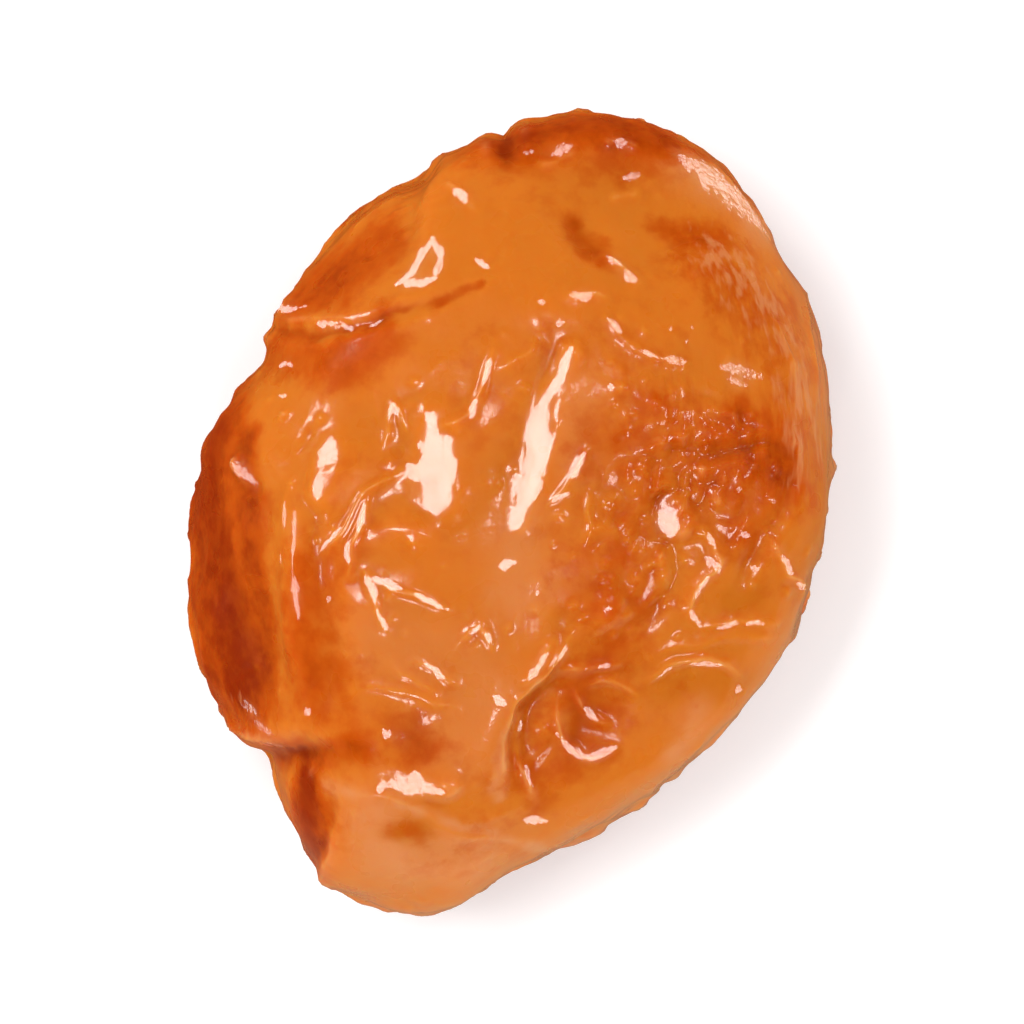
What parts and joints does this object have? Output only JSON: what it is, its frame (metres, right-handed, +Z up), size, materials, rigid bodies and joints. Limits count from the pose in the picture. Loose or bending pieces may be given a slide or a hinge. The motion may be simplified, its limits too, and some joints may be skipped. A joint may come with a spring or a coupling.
{
  "type": "dried plum",
  "caption": "Dried golden plum, lying on its side: a flattened fruit with folded, glossy, translucent orange skin and a small flat spot to rest on.",
  "frame": {"origin": "middle of the underside of the fruit's box, on the surface that it rests on", "axes": "+Y along the fruit's length, with the narrow foot end towards -Y; +Z up through its thickness; +X to the scar's side"},
  "size_m": [0.0316, 0.0396, 0.0211],
  "materials": {
    "dried_skin": "glossy, translucent orange skin of a dried fruit, with darker orange-red patches round the scar and in the folds"
  },
  "bodies": {
    "root": {"dried_plum": "dried_skin"}
  },
  "joints": []
}
